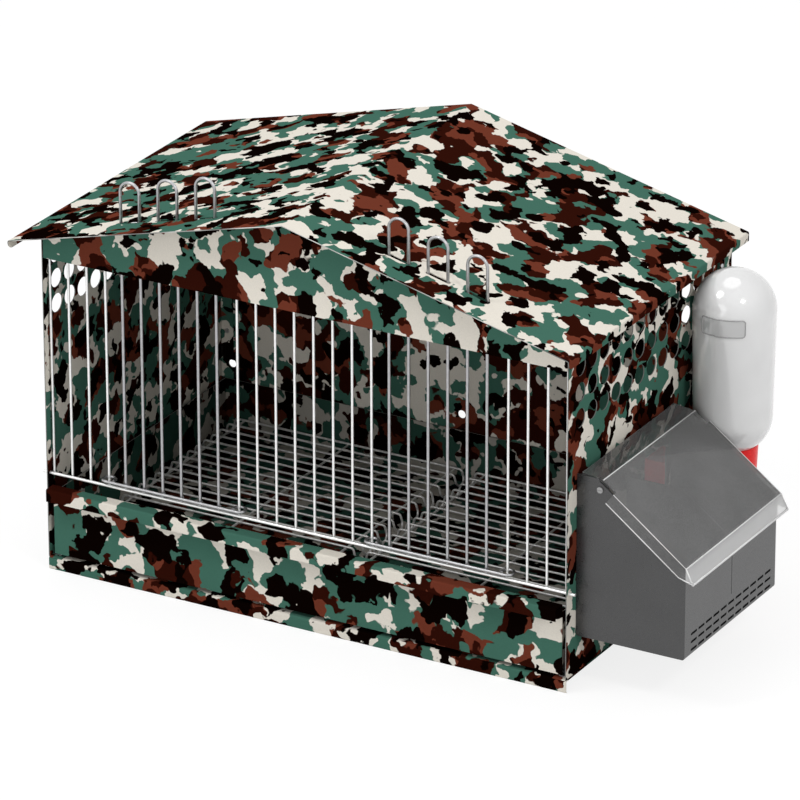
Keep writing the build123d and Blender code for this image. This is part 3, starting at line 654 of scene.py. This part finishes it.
def plate_outline():
    """Rounded outline of the plate, laid flat, with enough points along its length to follow the bottle."""
    half_length = PLATE_LENGTH / 2 - PLATE_CORNER
    half_height = PLATE_HEIGHT / 2 - PLATE_CORNER
    points = []
    for across, upward, start in ((1, 1, 0), (-1, 1, 90), (-1, -1, 180), (1, -1, 270)):
        for step in range(CORNER_STEPS + 1):
            angle = radians(start + 90 * step / CORNER_STEPS)
            points.append((across * half_length + PLATE_CORNER * cos(angle),
                           upward * half_height + PLATE_CORNER * sin(angle)))
        if across == upward:
            for step in range(1, EDGE_STEPS):
                along = across * half_length * (1 - 2 * step / EDGE_STEPS)
                points.append((along, upward * PLATE_HEIGHT / 2))
    return points


def add_plate_border():
    """Thin raised border round the blank plate of the bottle, grey as painted shade along the plate's edge.
    """
    radius, axis = bottle_axis()
    centre = axis - Vector((0, 0, PLATE_BELOW_TOP))
    turn = Matrix.Rotation(PLATE_TURN, 3, "Z")
    outline = plate_outline()
    data = bpy.data.curves.new("plate_border", "CURVE")
    data.dimensions = "3D"
    data.bevel_depth = PLATE_BORDER
    data.bevel_resolution = 2
    line = data.splines.new("POLY")
    line.points.add(len(outline) - 1)
    line.use_cyclic_u = True
    for point, (across, upward) in zip(line.points, outline):
        outward = -sqrt((radius + PLATE_RISE) ** 2 - across ** 2)
        point.co = (*(centre + turn @ Vector((across, outward, upward))), 1)
    add_piece("plate_border", data, moulded_plastic("plate_border_painted_shade"), "bottle")


def across_lid(along, above, ends, radius):
    """Line across the lid from end to end."""
    return lid_place(along, above, ends[0]), lid_place(along, above, ends[1]), radius


def add_lid_highlight_rims():
    """Painted highlights as thin rods along the crease, bend, lip edge and skirt edges of the lid."""
    lines = [across_lid(LID_CREASE, LID_UPPER, CREASE_ENDS, CREASE_RIM),
             across_lid(LID_BEND, LID_UPPER, LID_ENDS, BEND_RIM),
             across_lid(*LID_TIP, LID_ENDS, TIP_RIM)]
    for y in LID_ENDS:
        tip = lid_place(*LID_TIP, y)
        for level, edge_radius, lip_radius in ((LID_SKIRT_LOW, SKIRT_RIM, SKIRT_RIM),
                                               (LID_UPPER, UPPER_RIM, LIP_RIM)):
            bend = lid_place(LID_BEND, level, y)
            lines.append((lid_place(LID_WIDE_START, level, y), bend, edge_radius))
            lines.append((bend, tip, lip_radius))
    rims("lid_highlight_rims", lines, highlight_rim("lid_highlight_rim"), "lid")


def make_camera():
    """Camera at the photograph's place; returns its directions."""
    data = bpy.data.cameras.new("camera")
    data.sensor_width = SENSOR
    data.lens = FOCAL_PIXELS / PICTURE_PIXELS * SENSOR
    data.clip_end = CLIP_END
    camera = bpy.data.objects.new("camera", data)
    bpy.context.scene.collection.objects.link(camera)
    back = Vector((sin(VIEW_AZIMUTH) * cos(VIEW_ELEVATION), -cos(VIEW_AZIMUTH) * cos(VIEW_ELEVATION),
                   sin(VIEW_ELEVATION)))
    level = Vector((cos(VIEW_AZIMUTH), sin(VIEW_AZIMUTH), 0))
    upward = back.cross(level)
    right = level * cos(VIEW_ROLL) + upward * sin(VIEW_ROLL)
    up = back.cross(right)
    place = VIEW_TARGET + back * VIEW_DISTANCE
    camera.matrix_world = Matrix.Translation(place) @ Matrix((right, up, back)).transposed().to_4x4()
    bpy.context.scene.camera = camera
    return right, up, back


def make_lamps(right, up, back):
    """Soft lamps round the camera's direction."""
    centre = (cad_low + cad_high) / 2
    for name, (across, upwards, towards, distance, size, power) in LAMPS.items():
        data = bpy.data.lights.new(name, "AREA")
        data.shape = "DISK"
        data.size = size
        data.energy = power
        lamp = bpy.data.objects.new(name, data)
        bpy.context.scene.collection.objects.link(lamp)
        direction = (right * across + up * upwards + back * towards).normalized()
        lamp.location = centre + direction * distance
        lamp.rotation_mode = "QUATERNION"
        lamp.rotation_quaternion = direction.to_track_quat("Z", "Y")
        lamp.visible_camera = False


def seen_directly(tree):
    """One for rays from the camera, a mirror or clear plastic."""
    rays = tree.nodes.new("ShaderNodeLightPath")
    total = rays.outputs["Is Camera Ray"]
    for name in ("Is Glossy Ray", "Is Transmission Ray"):
        larger = tree.nodes.new("ShaderNodeMath")
        larger.operation = "MAXIMUM"
        tree.links.new(total, larger.inputs[0])
        tree.links.new(rays.outputs[name], larger.inputs[1])
        total = larger.outputs[0]
    return total


def make_world():
    """White surroundings: full white where seen, softer where they light the cage."""
    world = bpy.data.worlds.new("studio")
    bpy.context.scene.world = world
    world.use_nodes = True
    tree = world.node_tree
    background = tree.nodes["Background"]
    background.inputs["Color"].default_value = WHITE
    strength = tree.nodes.new("ShaderNodeMapRange")
    strength.inputs["To Min"].default_value = WORLD_STRENGTH
    strength.inputs["To Max"].default_value = 1.0
    tree.links.new(seen_directly(tree), strength.inputs["Value"])
    tree.links.new(strength.outputs["Result"], background.inputs["Strength"])


def floor_material():
    """Pale floor that glows to white where it is seen, and still takes a shadow."""
    material = bpy.data.materials.new("floor_white")
    material.use_nodes = True
    tree = material.node_tree
    tree.nodes.clear()
    plain = tree.nodes.new("ShaderNodeBsdfDiffuse")
    plain.inputs["Color"].default_value = grey(FLOOR_ALBEDO)
    glow = tree.nodes.new("ShaderNodeEmission")
    glow.inputs["Color"].default_value = WHITE
    glow.inputs["Strength"].default_value = FLOOR_LEVEL
    share = tree.nodes.new("ShaderNodeMath")
    share.operation = "MULTIPLY"
    share.inputs[1].default_value = FLOOR_GLOW
    tree.links.new(seen_directly(tree), share.inputs[0])
    mix = tree.nodes.new("ShaderNodeMixShader")
    tree.links.new(share.outputs[0], mix.inputs[0])
    tree.links.new(plain.outputs[0], mix.inputs[1])
    tree.links.new(glow.outputs[0], mix.inputs[2])
    output = tree.nodes.new("ShaderNodeOutputMaterial")
    tree.links.new(mix.outputs[0], output.inputs["Surface"])
    return material


def make_floor():
    """Wide flat floor under the cage."""
    mesh = bpy.data.meshes.new("floor")
    corners = [(-FLOOR_HALF, -FLOOR_HALF, 0), (FLOOR_HALF, -FLOOR_HALF, 0),
               (FLOOR_HALF, FLOOR_HALF, 0), (-FLOOR_HALF, FLOOR_HALF, 0)]
    mesh.from_pydata(corners, [], [(0, 1, 2, 3)])
    mesh.materials.append(floor_material())
    floor = bpy.data.objects.new("floor", mesh)
    bpy.context.scene.collection.objects.link(floor)


bpy.context.scene.view_settings.view_transform = "Standard"
dress_sheets()
dress_wires()
dress_plastics()
add_welds()
add_lid_highlight_rims()
add_plate_border()
make_lamps(*make_camera())
make_world()
make_floor()
